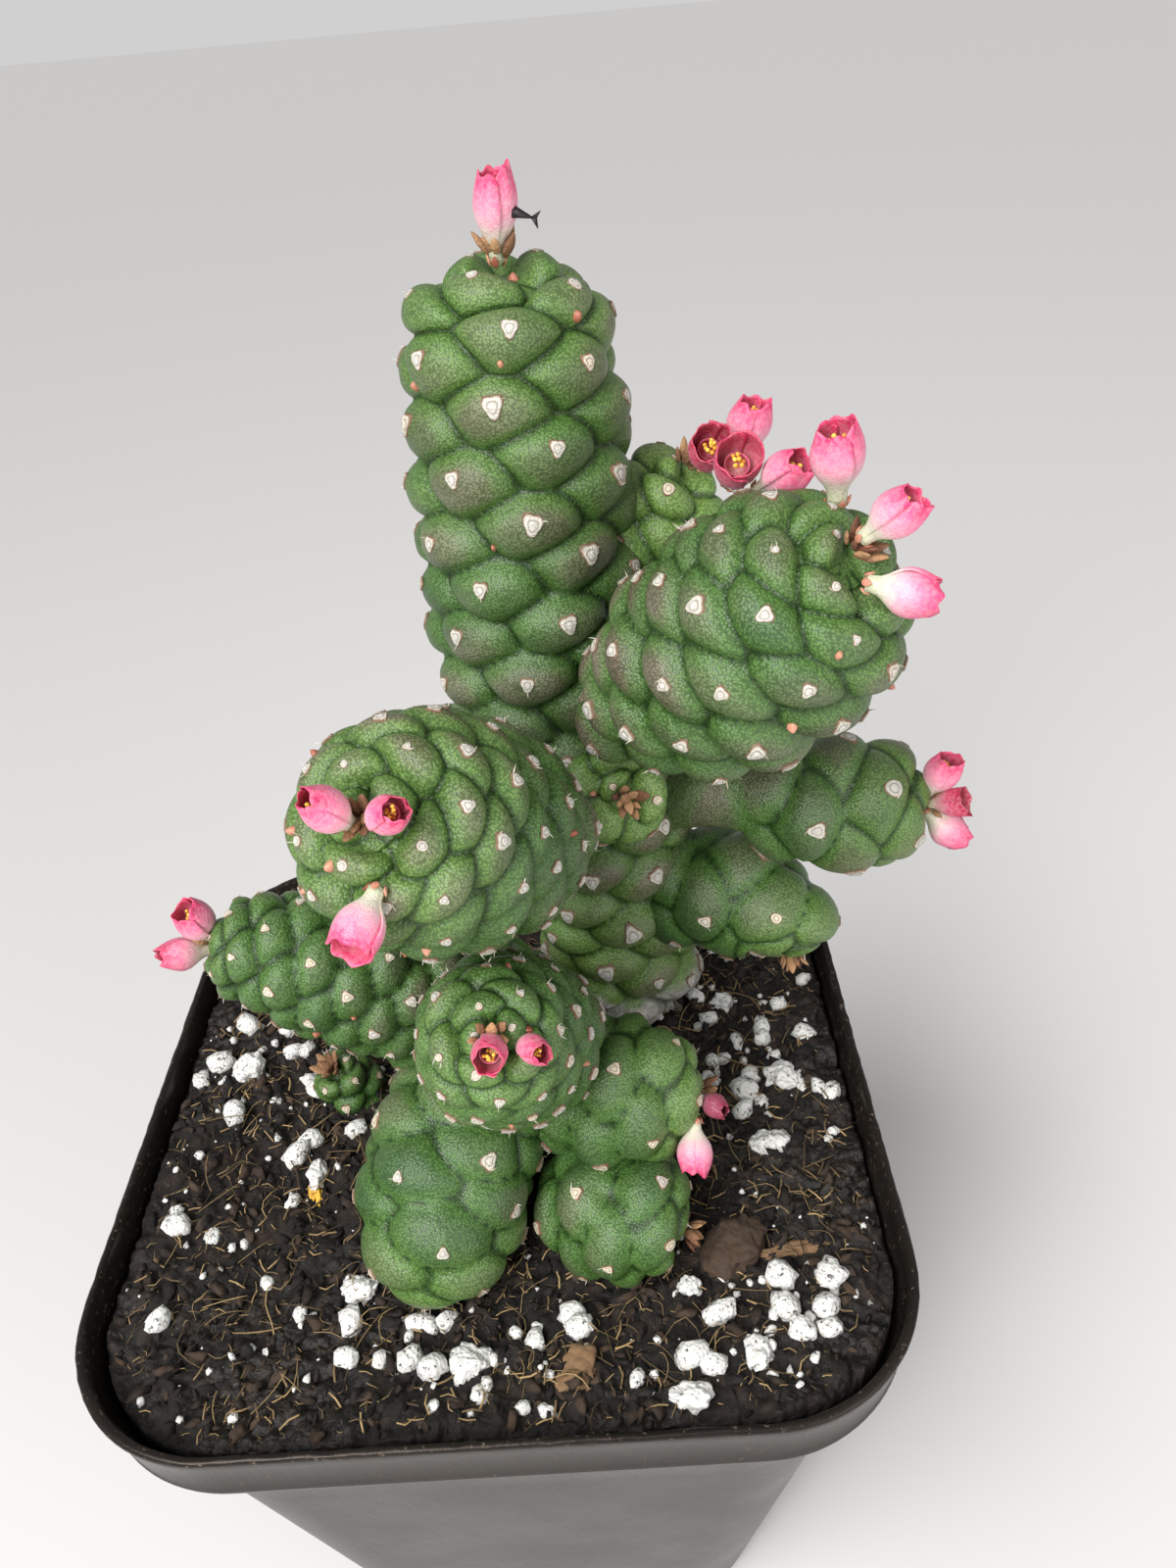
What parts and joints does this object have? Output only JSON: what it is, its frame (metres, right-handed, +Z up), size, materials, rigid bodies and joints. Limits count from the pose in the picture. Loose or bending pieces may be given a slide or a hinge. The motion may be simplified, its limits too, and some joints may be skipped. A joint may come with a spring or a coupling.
{
  "type": "potted euphorbia",
  "caption": "Knobbly branching succulent with spiral tubercles and small cupped flowers at its stem tips, growing in a square tapered nursery pot.",
  "frame": {"origin": "centre of the pot's flat underside", "axes": "+Z up, -Y towards the front, where the two front flowers face"},
  "size_m": [0.1507, 0.13, 0.2648],
  "materials": {
    "pot_plastic": "thin glossy black moulded plastic",
    "soil": "dark fibrous peat mix",
    "stem": "fine-grained matt green skin with pale leaf scars",
    "petal": "pink cupped bracts with pale bases",
    "perlite": "rough white expanded perlite",
    "bark": "rough brown bark"
  },
  "bodies": {
    "root": {"pot": "pot_plastic", "main_stem": "stem", "right_upper_stem": "stem", "left_upper_stem": "stem", "back_stem": "stem", "right_arm_stem": "stem", "right_low_stem": "stem", "centre_stem": "stem", "left_back_stem": "stem", "front_stem": "stem", "left_low_stem": "stem", "right_foot_upper_stem": "stem", "front_foot_stem": "stem", "right_foot_lower_stem": "stem", "offset_stem": "stem", "flower_top": "petal", "flower_back_red": "petal", "flower_back_high": "petal", "flower_back_mid": "petal", "flower_back_lean": "petal", "flower_right_tall": "petal", "flower_right_side": "petal", "flower_right_low": "petal", "flower_arm_up": "petal", "flower_arm_mid": "petal", "flower_arm_down": "petal", "flower_left_pale": "petal", "flower_left_open": "petal", "flower_left_bell": "petal", "flower_low_up": "petal", "flower_low_side": "petal", "flower_front_left": "petal", "flower_front_right": "petal", "flower_foot_hanging": "petal", "flower_foot_dry": "petal", "perlite_1": "perlite", "perlite_2": "perlite", "perlite_3": "perlite", "perlite_4": "perlite", "perlite_5": "perlite", "perlite_6": "perlite", "perlite_7": "perlite", "perlite_8": "perlite", "perlite_9": "perlite", "perlite_10": "perlite", "bark_chip": "bark", "soil": "soil"}
  },
  "joints": []
}
